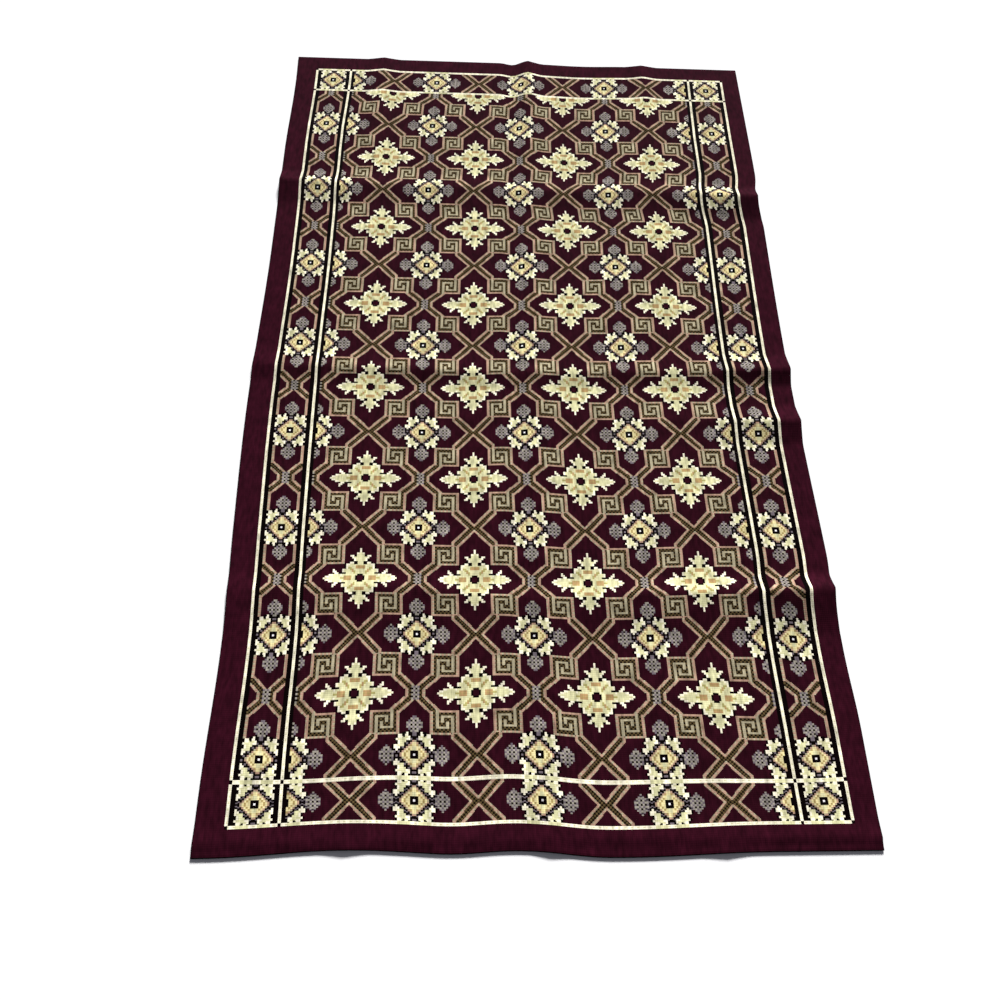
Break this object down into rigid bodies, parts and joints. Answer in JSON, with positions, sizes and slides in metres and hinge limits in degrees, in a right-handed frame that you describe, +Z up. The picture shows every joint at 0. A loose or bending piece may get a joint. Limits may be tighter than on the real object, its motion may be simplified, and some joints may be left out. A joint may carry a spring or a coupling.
{
  "type": "handwoven rug",
  "caption": "Flat handwoven rug with plain woven borders and a repeating floral lattice, lying loose with low storage creases.",
  "frame": {"origin": "on the floor under the middle of the rug's plan", "axes": "+X across the rug's width, +Y along its length towards the far end, +Z up from the floor"},
  "size_m": [0.9352, 1.529, 0.021],
  "materials": {
    "woven_cloth": "matte woven yarn"
  },
  "bodies": {
    "root": {"rug": "woven_cloth"}
  },
  "joints": []
}
